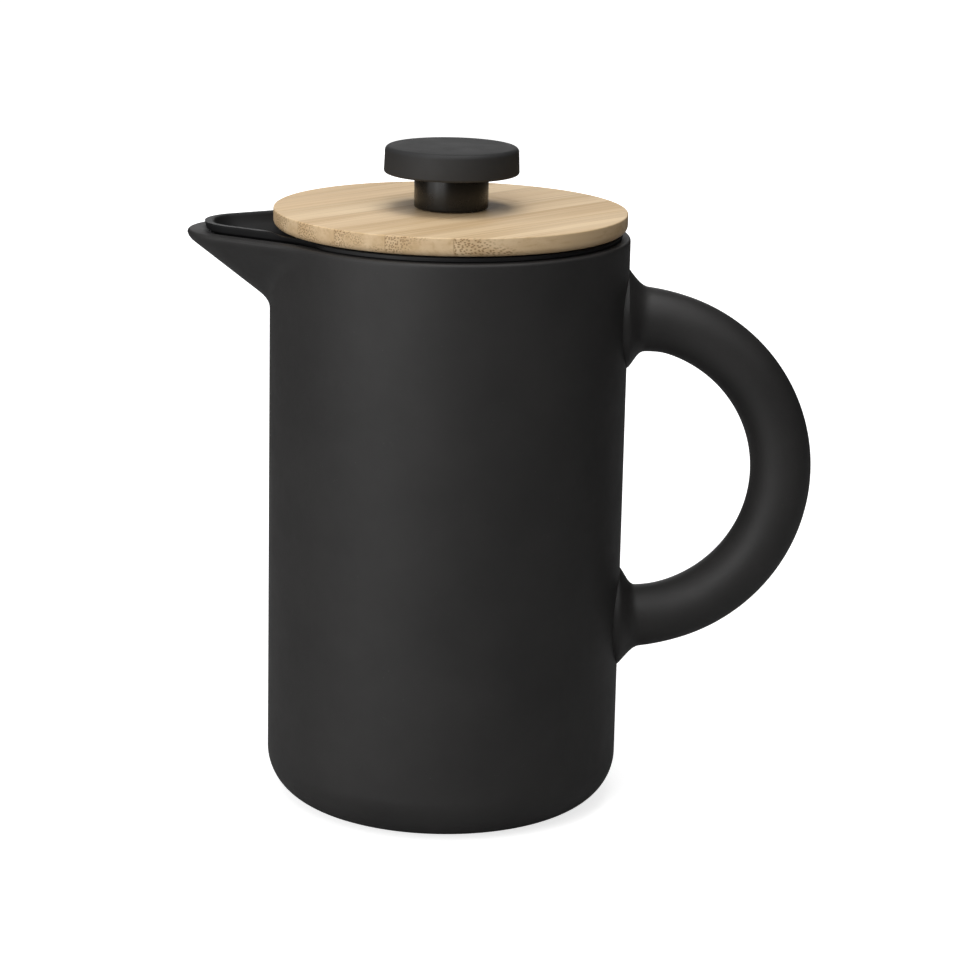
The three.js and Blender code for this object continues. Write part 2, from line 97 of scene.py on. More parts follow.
GAP = 0.3 * MM
RUNNING = 0.07 * MM
SPARE = 1 * MM  # how far a cutting tool runs past the faces that it cuts
ON_AXIS = 1e-7  # an outline's point with a smaller radius lies on the axis
WELD = 1e-6  # points closer together than this become one
SKIRT_INSET = POT_WALL + 0.8 * MM
SKIRT_RADIUS = POT_RADIUS - SKIRT_INSET
SKIRT_WALL = 1.6 * MM
SKIRT_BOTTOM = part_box("lid_collar")[0].z
SKIRT_TOP = LID_LOW.z - GAP
FLANGE_RADIUS = 47.6 * MM
FLANGE_BOTTOM = POT_HEIGHT + GAP
FLANGE_FADES = (math.radians(46), math.radians(36))  # whole past the first angle, gone by the second
CHANNEL_LIP = 0.2 * MM
CHANNEL_RISE = 0.9 * MM
GROOVE = (139.4 * MM, 142.6 * MM)  # bottom and top of the seal's groove
GROOVE_DEPTH = 1.1 * MM
WEB_THICKNESS = 1.6 * MM
HUB_RADIUS = 8.5 * MM
HUB_BOTTOM = 155 * MM
RIB_COUNT = 6
BARS_EACH_SIDE = 6  # strainer bars on each side of the middle one
BAR_STEP = math.radians(5.2)
BAR_BOTTOM = 143.6 * MM

SCREW_CIRCLE = 24 * MM
SCREW_ANGLES = [math.radians(30 + 120 * turn) for turn in range(3)]
SCREW_SHANK = 1.5 * MM
SCREW_CORE = 0.84 * SCREW_SHANK
SCREW_HEAD = 3.1 * MM
BOSS_RADIUS = 4.2 * MM
BOSS_DEPTH = 1.6 * MM

ROD_RADIUS = 2.5 * MM
ROD_LOW, ROD_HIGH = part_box("plunger_rod")
ROD_HOLE = ROD_RADIUS + GAP

GUIDE_LOW, GUIDE_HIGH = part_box("rod_guide")
GUIDE_RADIUS = 4.2 * MM
GUIDE_HOLE = GUIDE_RADIUS + RUNNING

KNOB_LOW, KNOB_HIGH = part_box("knob_cap")
STEM_LOW, STEM_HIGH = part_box("knob_stem")
STEM_RADIUS = 10.3 * MM
SPIGOT_RADIUS = 6.5 * MM

PLATE_HOLES = 8
WEAVE_PITCH = 1.2 * MM
WEAVE_WIRE = 0.115 * MM
WEAVE_LIFT = 1.06 * WEAVE_WIRE  # crossing wires are this far above and below the weave's middle


# ---------------- outlines

def arc(radius, height, size, start, end, steps=8):
    """Points (radius, height) along an arc, with angles in degrees from the outward direction."""
    points = []
    for step in range(steps + 1):
        angle = math.radians(start + (end - start) * step / steps)
        points.append((radius + size * math.cos(angle), height + size * math.sin(angle)))
    return points


def wall(radius, start, end, step=0.9 * MM):
    """Points up or down a plain wall, close enough together to be shaped afterwards."""
    count = max(1, round(abs(end - start) / step))
    return [(radius, start + (end - start) * index / count) for index in range(count + 1)]


def softened(corners, closed=False, steps=5):
    """Rounds each corner (radius, height, fillet) of an outline with an arc of its own size."""
    points = []
    count = len(corners)
    for index, (x, y, fillet) in enumerate(corners):
        is_end = not closed and index in (0, count - 1)
        if fillet <= 0 or is_end:
            points.append((x, y))
            continue
        here = Vector((x, y))
        before = (Vector(corners[index - 1][:2]) - here).normalized()
        after = (Vector(corners[(index + 1) % count][:2]) - here).normalized()
        half = before.angle(after) / 2
        centre = here + (before + after).normalized() * (fillet / math.sin(half))
        start = here + before * (fillet / math.tan(half)) - centre
        sweep = start.angle_signed(here + after * (fillet / math.tan(half)) - centre)
        for step in range(steps + 1):
            spoke = start.copy()
            spoke.rotate(Matrix.Rotation(-sweep * step / steps, 2))
            points.append(tuple(centre + spoke))
    return points


# ---------------- meshes

def turned(outline, segments=128, closed=False):
    """Vertices and faces of an outline turned about Z. It runs up the outside and down the inside."""
    vertices, rings = [], []
    for radius, height in outline:
        first = len(vertices)
        if radius < ON_AXIS:
            vertices.append((0, 0, height))
            rings.append([first] * segments)
            continue
        rings.append(list(range(first, first + segments)))
        for turn in range(segments):
            angle = TAU * turn / segments
            vertices.append((radius * math.cos(angle), radius * math.sin(angle), height))
    faces = []
    pairs = list(zip(rings, rings[1:]))
    if closed:
        pairs.append((rings[-1], rings[0]))
    for low, high in pairs:
        for turn in range(segments):
            after = (turn + 1) % segments
            corners = [low[turn], low[after], high[after], high[turn]]
            faces.append(list(dict.fromkeys(corners)))
    return vertices, faces


def bored(corners, segments, steps=5):
    """Vertices and faces of a turned part with a bore, from corners (radius, height, fillet)."""
    return turned(softened(corners, closed=True, steps=steps), segments, closed=True)


def flat_ring(radius, bottom, top, edge, bore_edge, segments, steps=5):
    """Vertices and faces of a flat ring round the rod."""
    return bored([
        (ROD_HOLE, bottom, bore_edge),
        (radius, bottom, edge),
        (radius, top, edge),
        (ROD_HOLE, top, bore_edge),
    ], segments, steps)


def swept(centres, radii, normals, sides, closed=False):
    """Vertices and faces of a round tube along centres, each ring square to its tangent.

    normals are vectors across the path, which fix where each ring starts.
    """
    count = len(centres)
    vertices, faces = [], []
    for index, centre in enumerate(centres):
        if closed:
            tangent = centres[(index + 1) % count] - centres[index - 1]
        else:
            tangent = centres[min(index + 1, count - 1)] - centres[max(index - 1, 0)]
        tangent.normalize()
        across = (normals[index] - tangent * normals[index].dot(tangent)).normalized()
        other = tangent.cross(across)
        for side in range(sides):
            angle = TAU * side / sides
            spoke = across * math.cos(angle) + other * math.sin(angle)
            vertices.append(centre + spoke * radii[index])
    for index in range(count if closed else count - 1):
        here, there = index * sides, ((index + 1) % count) * sides
        for side in range(sides):
            after = (side + 1) % sides
            faces.append([here + side, here + after, there + after, there + side])
    if not closed:
        faces.append(list(range(sides))[::-1])
        faces.append([(count - 1) * sides + side for side in range(sides)])
    return vertices, faces


def merged(*parts):
    """Several (vertices, faces) as one."""
    vertices, faces = [], []
    for part_vertices, part_faces in parts:
        offset = len(vertices)
        vertices += part_vertices
        faces += [[corner + offset for corner in face] for face in part_faces]
    return vertices, faces


def moved(part, x=0.0, y=0.0, turn=0.0):
    """A copy of (vertices, faces) turned about Z and then shifted."""
    matrix = Matrix.Translation((x, y, 0)) @ Matrix.Rotation(turn, 4, "Z")
    return [matrix @ Vector(vertex) for vertex in part[0]], part[1]


def block(low, high):
    """A box between two corners, as (vertices, faces)."""
    (x0, y0, z0), (x1, y1, z1) = low, high
    vertices = [
        (x0, y0, z0), (x1, y0, z0), (x1, y1, z0), (x0, y1, z0),
        (x0, y0, z1), (x1, y0, z1), (x1, y1, z1), (x0, y1, z1),
    ]
    faces = [
        [0, 3, 2, 1], [4, 5, 6, 7], [0, 1, 5, 4],
        [1, 2, 6, 5], [2, 3, 7, 6], [3, 0, 4, 7],
    ]
    return vertices, faces


def post(radius, bottom, top, segments):
    """A plain cylinder on the axis, as (vertices, faces)."""
    return turned([(0, bottom), (radius, bottom), (radius, top), (0, top)], segments)


def ring_of(part, count, circle=0.0, first=0.0):
    """Copies of a part at even steps round the axis, each set out along its own direction."""
    copies = []
    for step in range(count):
        angle = first + TAU * step / count
        copies.append(moved(part, circle * math.cos(angle), circle * math.sin(angle), angle))
    return copies


def mesh_object(name, part):
    """A new object in the scene from (vertices, faces)."""
    mesh = bpy.data.meshes.new(name)
    mesh.from_pydata([tuple(vertex) for vertex in part[0]], [], part[1])
    mesh.update()
    obj = bpy.data.objects.new(name, mesh)
    scene.collection.objects.link(obj)
    return obj


def combined(name, first, joined=(), cut=()):
    """One closed mesh: the first part, with the joined parts added and the cut parts taken away."""
    obj = mesh_object(name, first)
    helpers = []
    for operation, parts in (("UNION", joined), ("DIFFERENCE", cut)):
        for part in parts:
            helper = mesh_object(name + "_tool", part)
            helpers.append(helper)
            modifier = obj.modifiers.new(operation, "BOOLEAN")
            modifier.operation = operation
            modifier.solver = "MANIFOLD"
            modifier.object = helper
    bpy.context.view_layer.update()
    evaluated = obj.evaluated_get(bpy.context.evaluated_depsgraph_get())
    result = bpy.data.meshes.new_from_object(evaluated)
    obj.modifiers.clear()
    obj.data = result
    obj.data.name = name
    for helper in helpers:
        bpy.data.objects.remove(helper)
    return obj


def piece(obj, body, material, slot, *nodes, sharp=32):
    """Finishes an object as a piece of the press that stands for CAD nodes.

    Edges that bend by more than sharp, in degrees, are not smoothed over.
    """
    mesh = obj.data
    cleaner = bmesh.new()
    cleaner.from_mesh(mesh)
    bmesh.ops.remove_doubles(cleaner, verts=cleaner.verts, dist=WELD)
    cleaner.to_mesh(mesh)
    cleaner.free()
    mesh.shade_smooth()
    mesh.set_sharp_from_angle(angle=math.radians(sharp))
    mesh.materials.clear()
    mesh.materials.append(material)
    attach(obj, body)
    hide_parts(*nodes)


# ---------------- the spout's form

def smooth_max(first, second, width):
    """The larger of two values, rounded over where they come within width of each other."""
    overlap = max(width - abs(first - second), 0)
    return max(first, second) + overlap ** 2 / (4 * width)


def smooth_min(first, second, width):
    return -smooth_max(-first, -second, width)


def smooth_step(value, start, end):
    """Grows smoothly from 0 at start to 1 at end."""
    share = min(max((value - start) / (end - start), 0), 1)
    return share * share * (3 - 2 * share)


def spout_reach(height, inset):
    """How far the spout stands out at a height, on a skin inset inside the pot's outside."""
    reach, at_height = SPOUT_UNDERSIDE
    underside = reach + (height - at_height) / math.tan(SPOUT_SLOPE)
    return smooth_min(underside - inset / math.sin(SPOUT_SLOPE), SPOUT_TIP - inset, SPOUT_LIP_BLEND)


def nose_distance(angle, reach, nose_radius):
    """Distance from the axis to a round-nosed V at an angle from the spout's direction."""
    turn = abs(angle)
    centre = reach - nose_radius
    tangent_x = centre + nose_radius * math.sin(SPOUT_HALF_ANGLE)
    tangent_y = nose_radius * math.cos(SPOUT_HALF_ANGLE)
    if turn < math.atan2(tangent_y, tangent_x):
        across = centre * math.sin(turn)
        return centre * math.cos(turn) + math.sqrt(nose_radius ** 2 - across ** 2)
    side_offset = centre * math.sin(SPOUT_HALF_ANGLE) + nose_radius
    return side_offset / math.sin(min(SPOUT_HALF_ANGLE + turn, math.pi / 2))


def skin_distance(angle, height, inset):
    """Distance from the axis to the skin that lies inset inside the pot's outside."""
    plain = POT_RADIUS - inset
    reach = spout_reach(height, inset)
    if reach < plain - SPOUT_BLEND:
        return plain
    taper = (reach + inset - SPOUT_TAPER_START) / (SPOUT_TIP - SPOUT_TAPER_START)
    nose_radius = SPOUT_NOSE * taper - inset
    return smooth_max(plain, nose_distance(angle, reach, nose_radius), SPOUT_BLEND)


def shaped_to_spout(part, inset_at=None, height_at=None):
    """Moves a turned part's points out so that its skins follow the spout."""
    vertices = []
    for x, y, height in part[0]:
        even = math.atan2(y, -x)
        angle = even - SPOUT_CROWDING * math.sin(even)
        inset = POT_RADIUS - math.hypot(x, y)
        if inset_at:
            inset = inset_at(inset, angle)
        distance = skin_distance(angle, height, inset)
        if height_at:
            height = height_at(height, distance)
        vertices.append((-distance * math.cos(angle), distance * math.sin(angle), height))
    return vertices, part[1]


# ---------------- shader helpers

class Shader:
    """A small wrapper that adds nodes to one material and wires them up."""

    def __init__(self, name):
        self.material = bpy.data.materials.new(name)
        self.material.use_nodes = True
        self.nodes = self.material.node_tree.nodes
        self.links = self.material.node_tree.links
        self.surface = self.nodes["Principled BSDF"]
        self.place = self.add("ShaderNodeTexCoord").outputs["Object"]

    def add(self, kind, inputs=None, **settings):
        node = self.nodes.new(kind)
        for name, value in settings.items():
            setattr(node, name, value)
        for name, value in (inputs or {}).items():
            self.put(node.inputs[name], value)
        return node

    def put(self, socket, value):
        if isinstance(value, bpy.types.NodeSocket):
            self.links.new(value, socket)
        else:
            socket.default_value = value

    def math(self, operation, first, second=0.0):
        return self.add("ShaderNodeMath", {0: first, 1: second}, operation=operation).outputs[0]

    def scaled(self, factors, vector=None):
        """A texture space stretched by a factor along each axis."""
        node = self.add("ShaderNodeVectorMath", {0: vector or self.place}, operation="MULTIPLY")
        node.inputs[1].default_value = factors
        return node.outputs[0]

    def noise(self, scale, detail=2.0, roughness=0.5, vector=None):
        inputs = {"Vector": vector or self.place, "Scale": scale, "Detail": detail}
        inputs["Roughness"] = roughness
        return self.add("ShaderNodeTexNoise", inputs).outputs["Fac"]

    def remap(self, value, low, high, to_low=0.0, to_high=1.0):
        inputs = {"Value": value, "From Min": low, "From Max": high}
        inputs.update({"To Min": to_low, "To Max": to_high})
        return self.add("ShaderNodeMapRange", inputs).outputs["Result"]

    def ramp(self, value, *stops):
        """A colour ramp of (position, colour) stops."""
        node = self.add("ShaderNodeValToRGB", {"Fac": value})
        elements = node.color_ramp.elements
        while len(elements) < len(stops):
            elements.new(0.5)
        for element, (position, colour) in zip(elements, stops):
            element.position = position
            element.color = (*colour, 1)
        return node.outputs["Color"]

    def mix(self, share, first, second):
        """Two colours mixed. The node's inputs 6 and 7 and its output 2 are the ones for colours."""
        node = self.add("ShaderNodeMix", {"Factor": share}, data_type="RGBA")
        for socket, colour in ((node.inputs[6], first), (node.inputs[7], second)):
            is_wired = isinstance(colour, bpy.types.NodeSocket)
            self.put(socket, colour if is_wired else (*colour, 1))
        return node.outputs[2]

    def bump(self, height, distance, strength, normal=None):
        inputs = {"Height": height, "Distance": distance, "Strength": strength}
        if normal:
            inputs["Normal"] = normal
        return self.add("ShaderNodeBump", inputs).outputs["Normal"]

    def finish(self, **sockets):
        """Sets the surface's sockets, with underscores in place of spaces."""
        for name, value in sockets.items():
            self.put(self.surface.inputs[name.replace("_", " ")], value)
        return self.material


# ---------------- materials

def stoneware():
    """Matt black glaze over fired clay: faint mottling and flecks, a fine skin, soft throwing marks."""
    s = Shader("stoneware_glaze")
    dark, light, pale_fleck = (0.0185, 0.0176, 0.0173), (0.0250, 0.0237, 0.0232), (0.045, 0.042, 0.040)
    mottle = s.noise(38, 4, 0.6)
    grain = s.noise(1300, 3, 0.6)
    colour = s.ramp(mottle, (0.3, dark), (0.7, light))
    flecks = s.add("ShaderNodeTexVoronoi", {"Vector": s.place, "Scale": 900.0}).outputs["Distance"]
    fleck = s.remap(flecks, 0.06, 0.16, 1.0, 0.0)
    rare = s.remap(s.noise(260, 1), 0.62, 0.70)
    colour = s.mix(s.math("MULTIPLY", fleck, rare), colour, pale_fleck)
    roughness = s.remap(s.noise(60, 5, 0.65), 0.3, 0.7, 0.50, 0.60)
    ripple = s.noise(9, 2, 0.5, s.scaled((1, 1, 5)))
    normal = s.bump(ripple, 0.35 * MM, 0.5)
    normal = s.bump(grain, 0.05 * MM, 0.5, normal)
    return s.finish(Base_Color=colour, Roughness=roughness, Normal=normal, Specular_IOR_Level=0.42)


BAMBOO_GRAIN = math.radians(47)  # direction of the grain from +X, seen from above
BAMBOO_STRIP = 15.2 * MM
BAMBOO_JOINT = 4.2 * MM  # where one glue joint lies


def bamboo():
    """Glued bamboo strips: long pale fibres on the flat, dotted fibre bundles on the cut ends."""
    s = Shader("laminated_bamboo")
    place = s.add(
        "ShaderNodeVectorRotate", {"Vector": s.place, "Angle": -BAMBOO_GRAIN}, rotation_type="Z_AXIS"
    ).outputs[0]
    axes = s.add("ShaderNodeSeparateXYZ", {0: place})
    along, across = axes.outputs["X"], axes.outputs["Y"]

    bend = s.noise(14, 1, 0.5, s.scaled((1, 0.2, 0), place))
    wander = s.remap(bend, 0, 1, -0.5 * MM, 0.5 * MM)
    strip_place = s.math("ADD", s.math("ADD", across, BAMBOO_JOINT), wander)
    strip_place = s.math("DIVIDE", strip_place, BAMBOO_STRIP)
    strip = s.math("FLOOR", strip_place)
    share = s.math("FRACT", strip_place)
    tone = s.add("ShaderNodeTexWhiteNoise", {"W": strip}, noise_dimensions="1D").outputs["Value"]
    shifted = s.math("MULTIPLY", tone, 0.37)

    offset = s.add("ShaderNodeCombineXYZ", {"X": shifted, "Y": tone, "Z": shifted}).outputs[0]
    strip_space = s.add("ShaderNodeVectorMath", {0: place, 1: offset}, operation="ADD").outputs[0]
    fine = s.noise(1.0, 4, 0.6, s.scaled((14, 900, 900), strip_space))
    broad = s.noise(1.0, 3, 0.55, s.scaled((7, 150, 150), strip_space))
    cloud = s.noise(1.0, 2, 0.5, s.scaled((16, 34, 34), strip_space))

    pale, tan, brown = (0.79, 0.607, 0.39), (0.60, 0.418, 0.23), (0.2, 0.105, 0.04)
    fibre, patch, warm = (0.46, 0.29, 0.135), (0.60, 0.40, 0.205), (0.66, 0.465, 0.27)
    side, glue_line, node_ring = (0.52, 0.345, 0.17), (0.34, 0.21, 0.10), (0.47, 0.30, 0.145)
    colour = s.ramp(broad, (0.3, tan), (0.62, pale))
    colour = s.mix(s.remap(fine, 0.5, 0.76, 0, 0.55), colour, fibre)
    colour = s.mix(s.remap(cloud, 0.52, 0.8, 0, 0.4), colour, patch)
    colour = s.mix(s.remap(tone, 0.15, 0.85), colour, s.mix(0.5, colour, warm))

    # Fibre bundles run the whole length of a strip, so they are dots where it is cut across.
    section = s.add("ShaderNodeSeparateXYZ", {0: strip_space})
    bundle_space = s.add(
        "ShaderNodeCombineXYZ", {"X": section.outputs["Y"], "Y": section.outputs["Z"]}
    ).outputs[0]
    bundles = s.add(
        "ShaderNodeTexVoronoi", {"Vector": bundle_space, "Scale": 1650.0}, voronoi_dimensions="2D"
    )
    dot = s.remap(bundles.outputs["Distance"], 0.14, 0.42, 1.0, 0.0)
    crowd = s.noise(1.0, 2, 0.5, s.scaled((5, 120, 200), strip_space))
    crowd = s.math("ADD", crowd, s.remap(share, 0.3, 0.95, -0.08, 0.30))
    crowd = s.math("ADD", crowd, s.remap(tone, 0, 1, -0.04, 0.12))
    crowd = s.remap(crowd, 0.46, 0.66)
    facing = s.add("ShaderNodeNewGeometry").outputs["Normal"]
    flat = s.math("ABSOLUTE", s.add("ShaderNodeSeparateXYZ", {0: facing}).outputs["Z"])
    cut_end = s.remap(flat, 0.5, 0.95, 0.95, 0.2)
    dots = s.math("MULTIPLY", s.math("MULTIPLY", dot, crowd), cut_end)
    colour = s.mix(dots, colour, brown)
    side_tint = s.remap(flat, 0.5, 0.95, 0.22, 0.0)
    colour = s.mix(side_tint, colour, side)

    # A thin dark line of glue between two strips, and a faint knuckle across some of them.
    edge = s.math("MINIMUM", share, s.math("SUBTRACT", 1.0, share))
    glue = s.remap(edge, 0.0, 0.014, 0.55, 0.0)
    colour = s.mix(glue, colour, glue_line)
    knuckle_at = s.math("SUBTRACT", along, s.remap(tone, 0, 1, -140 * MM, 140 * MM))
    knuckle = s.remap(s.math("ABSOLUTE", knuckle_at), 0.4 * MM, 2.2 * MM, 0.30, 0.0)
    colour = s.mix(knuckle, colour, node_ring)

    roughness = s.remap(fine, 0.3, 0.7, 0.50, 0.62)
    height = s.math("SUBTRACT", fine, s.math("MULTIPLY", dots, 0.6))
    normal = s.bump(height, 0.05 * MM, 0.5)
    return s.finish(Base_Color=colour, Roughness=roughness, Normal=normal, Specular_IOR_Level=0.22)


def moulded(name, dark, light, rough, grain_scale, grain_depth, specular):
    """Moulded plastic or rubber: a fine spark-eroded skin with faint flow marks."""
    s = Shader(name)
    flow = s.noise(55, 3, 0.5)
    colour = s.ramp(flow, (0.35, dark), (0.7, light))
    roughness = s.remap(s.noise(130, 4, 0.6), 0.3, 0.7, *rough)
    normal = s.bump(s.noise(grain_scale, 2, 0.6), grain_depth, 0.5)
    return s.finish(
        Base_Color=colour, Roughness=roughness, Normal=normal, Specular_IOR_Level=specular
    )


def darkened(colour, factor):
    return tuple(factor * channel for channel in colour)


def turned_metal(name, colour, rough, groove_depth=0.01 * MM):
    """Metal off a lathe or a press: fine rings round the axis, and soft handling marks."""
    s = Shader(name)
    axes = s.add("ShaderNodeSeparateXYZ", {0: s.place})
    x, y, z = (axes.outputs[axis] for axis in "XYZ")
    squares = s.math("ADD", s.math("MULTIPLY", x, x), s.math("MULTIPLY", y, y))
    radius = s.math("SQRT", squares)
    ring_space = s.add("ShaderNodeCombineXYZ", {"X": radius, "Y": z}).outputs[0]
    rings = s.noise(5200, 3, 0.7, ring_space)
    marks = s.noise(90, 4, 0.6)
    shade = s.mix(s.remap(rings, 0.3, 0.7, 0, 0.25), colour, darkened(colour, 0.72))
    shade = s.mix(s.remap(marks, 0.5, 0.8, 0, 0.2), shade, darkened(colour, 0.8))
    roughness = s.remap(marks, 0.3, 0.7, *rough)
    normal = s.bump(rings, groove_depth, 0.6)
    return s.finish(Base_Color=shade, Metallic=1.0, Roughness=roughness, Normal=normal)


def wire_metal(name, colour, rough):
    """Drawn wire: bright, with a little dulling from use."""
    s = Shader(name)
    marks = s.noise(160, 3, 0.6)
    shade = s.mix(s.remap(marks, 0.4, 0.75, 0, 0.35), colour, darkened(colour, 0.7))
    roughness = s.remap(marks, 0.3, 0.7, *rough)
    return s.finish(Base_Color=shade, Metallic=1.0, Roughness=roughness)


STONEWARE = stoneware()
BAMBOO = bamboo()
COLLAR_PLASTIC = moulded(
    "collar_plastic", dark=(0.0085, 0.0085, 0.0090), light=(0.0110, 0.0110, 0.0115),
    rough=(0.46, 0.56), grain_scale=2600, grain_depth=0.012 * MM, specular=0.28,
)
STEM_PLASTIC = moulded(
    "stem_plastic", dark=(0.0075, 0.0070, 0.0065), light=(0.0095, 0.0090, 0.0085),
    rough=(0.24, 0.32), grain_scale=2200, grain_depth=0.008 * MM, specular=0.35,
)
KNOB_PLASTIC = moulded(
    "knob_plastic", dark=(0.026, 0.026, 0.0264), light=(0.031, 0.031, 0.0314),
    rough=(0.58, 0.68), grain_scale=1800, grain_depth=0.03 * MM, specular=0.3,
)
SILICONE = moulded(
    "seal_silicone", dark=(0.030, 0.030, 0.032), light=(0.040, 0.040, 0.042),
    rough=(0.62, 0.72), grain_scale=1500, grain_depth=0.02 * MM, specular=0.3,
)
STEEL = turned_metal("turned_steel", (0.62, 0.62, 0.63), (0.20, 0.30))
PLATE_STEEL = turned_metal("pressed_steel", (0.55, 0.56, 0.57), (0.32, 0.42), 0.02 * MM)
BRASS = turned_metal("turned_brass", (0.72, 0.52, 0.24), (0.25, 0.35))
WIRE = wire_metal("drawn_wire", (0.60, 0.61, 0.62), (0.21, 0.34))


# ---------------- the pot

def handle_part():
    """The loop handle: a half ring whose straight ends flare out and run into the wall."""
    buried, steps, sides = 6, 150, 96
    centres = []
    for step in range(buried):
        x = HANDLE_BURIED_X + (HANDLE_X - HANDLE_BURIED_X) * step / buried
        centres.append(Vector((x, 0, HANDLE_Z + HANDLE_LOOP)))
    for step in range(steps + 1):
        angle = math.pi / 2 - math.pi * step / steps
        x = HANDLE_X + HANDLE_LOOP * math.cos(angle)
        centres.append(Vector((x, 0, HANDLE_Z + HANDLE_LOOP * math.sin(angle))))
    for step in range(buried - 1, -1, -1):
        centres.append(Vector((centres[step].x, 0, HANDLE_Z - HANDLE_LOOP)))
    radii = []
    for centre in centres:
        is_upper = centre.z > HANDLE_Z
        swell = HANDLE_SWELL_TOP if is_upper else HANDLE_SWELL_BOTTOM
        nearness = 1 - smooth_step(centre.x, POT_RADIUS, HANDLE_SWELL_END)
        grip = HANDLE_GRIP + swell * nearness
        centre.z -= HANDLE_SAG * nearness if is_upper else 0
        flare = HANDLE_FLARE - HANDLE_FLARE_SLOPE * max(centre.x - POT_RADIUS, 0)
        radii.append(smooth_max(grip, flare, HANDLE_FLARE_BLEND))
    return swept(centres, radii, [Vector((0, 1, 0))] * len(centres), sides)


def pot():
    """The pot: a turned shell drawn out to the spout, with the handle joined on."""
    bore = POT_RADIUS - POT_WALL
    edge = POT_HEIGHT - RIM_EDGE
    plain_low, plain_high = 30 * MM, SPOUT_LOWEST - 2 * MM
    plain_step = 18 * MM
    base_rings, floor_ring = (12 * MM, 24 * MM), 20 * MM
    outline = [
        (0, 0),
        *[(ring, 0) for ring in base_rings],
        *arc(POT_RADIUS - BASE_CORNER, BASE_CORNER, BASE_CORNER, -90, 0, 24),
        *wall(POT_RADIUS, plain_low, plain_high, plain_step),
        *wall(POT_RADIUS, SPOUT_LOWEST, edge),
        *arc(POT_RADIUS - RIM_EDGE, edge, RIM_EDGE, 15, 90, 5),
        *arc(bore + RIM_EDGE, edge, RIM_EDGE, 90, 165, 5),
        *wall(bore, edge, SPOUT_LOWEST),
        *wall(bore, plain_high, plain_low, plain_step),
        *arc(bore - FLOOR_CORNER, POT_FLOOR + FLOOR_CORNER, FLOOR_CORNER, 0, -90, 16),
        (floor_ring, POT_FLOOR),
        (0, POT_FLOOR),
    ]
    shell = shaped_to_spout(turned(outline, POT_SEGMENTS))
    obj = combined("stoneware_pot", shell, [handle_part()])
    piece(obj, "pot", STONEWARE, "stoneware", "pot", sharp=38)


# ---------------- the lid

def screw_places(part):
    """A copy of a part at each lid screw."""
    return [
        moved(part, SCREW_CIRCLE * math.cos(angle), SCREW_CIRCLE * math.sin(angle))
        for angle in SCREW_ANGLES
    ]


def bamboo_disc():
    """The lid's disc, with a hole and a sunk seat for the guide, and pilot holes for the screws."""
    bottom, top = LID_LOW.z, LID_HIGH.z
    disc = bored([
        (GUIDE_HOLE, bottom, 0.2 * MM),
        (LID_RADIUS, bottom, LID_BOTTOM_EDGE),
        (LID_RADIUS, top, LID_TOP_EDGE),
        (LID_SEAT_RADIUS, top, 0.25 * MM),
        (LID_SEAT_RADIUS, top - LID_SEAT_DEPTH, 0.2 * MM),
        (GUIDE_HOLE, top - LID_SEAT_DEPTH, 0.2 * MM),
    ], 256, steps=7)
    screw_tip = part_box("lid_screw_1")[1].z
    pilots = screw_places(post(SCREW_SHANK + GAP, bottom - SPARE, screw_tip + GAP, 32))
    obj = combined("bamboo_disc", disc, cut=pilots)
    piece(obj, "lid", BAMBOO, "bamboo", "lid_disc")


def flange_inset(inset, angle):
    """The flange, which stands out past the skirt, fades away along the pouring channel."""
    last = SKIRT_INSET - CHANNEL_LIP
    if inset >= last:
        return inset
    faded = smooth_step(-abs(angle), -FLANGE_FADES[0], -FLANGE_FADES[1])
    return inset + (last - inset) * faded


def channel_height(height, distance):
    """The channel's edge rises where it comes out from under the lid."""
    if height < FLANGE_BOTTOM:
        return height
    clear = LID_RADIUS + GAP
    share = (height - FLANGE_BOTTOM) / (SKIRT_TOP - FLANGE_BOTTOM)
    return height + CHANNEL_RISE * share * smooth_step(distance, clear, clear + 3 * MM)


def collar_shell():
    """The collar's skirt and flange, drawn out along the spout into a pouring channel."""
    inner = SKIRT_RADIUS - SKIRT_WALL
    groove = SKIRT_RADIUS - GROOVE_DEPTH
    groove_low, groove_high = GROOVE
    edge = 0.4 * MM
    outline = [
        *arc(inner + edge, SKIRT_BOTTOM + edge, edge, 180, 270, 4),
        *arc(SKIRT_RADIUS - edge, SKIRT_BOTTOM + edge, edge, -90, 0, 4),
        (SKIRT_RADIUS, groove_low),
        (groove, groove_low),
        (groove, groove_high),
        (SKIRT_RADIUS, groove_high),
        *wall(SKIRT_RADIUS, groove_high + 0.8 * MM, FLANGE_BOTTOM),
        (FLANGE_RADIUS, FLANGE_BOTTOM),
        *arc(FLANGE_RADIUS - edge, SKIRT_TOP - edge, edge, 0, 90, 4),
        *arc(inner + edge, SKIRT_TOP - edge, edge, 90, 180, 4),
        *wall(inner, SKIRT_TOP - 1.2 * MM, groove_high),
    ]
    return shaped_to_spout(turned(outline, POT_SEGMENTS, closed=True), flange_inset, channel_height)


def stud(radius, bottom, edge, segments):
    """A round stud that hangs from the collar's web, with its top sunk in the web."""
    top = SKIRT_TOP - 0.2 * MM
    corners = [(0, bottom, 0), (radius, bottom, edge), (radius, top, 0), (0, top, 0)]
    return turned(softened(corners), segments)


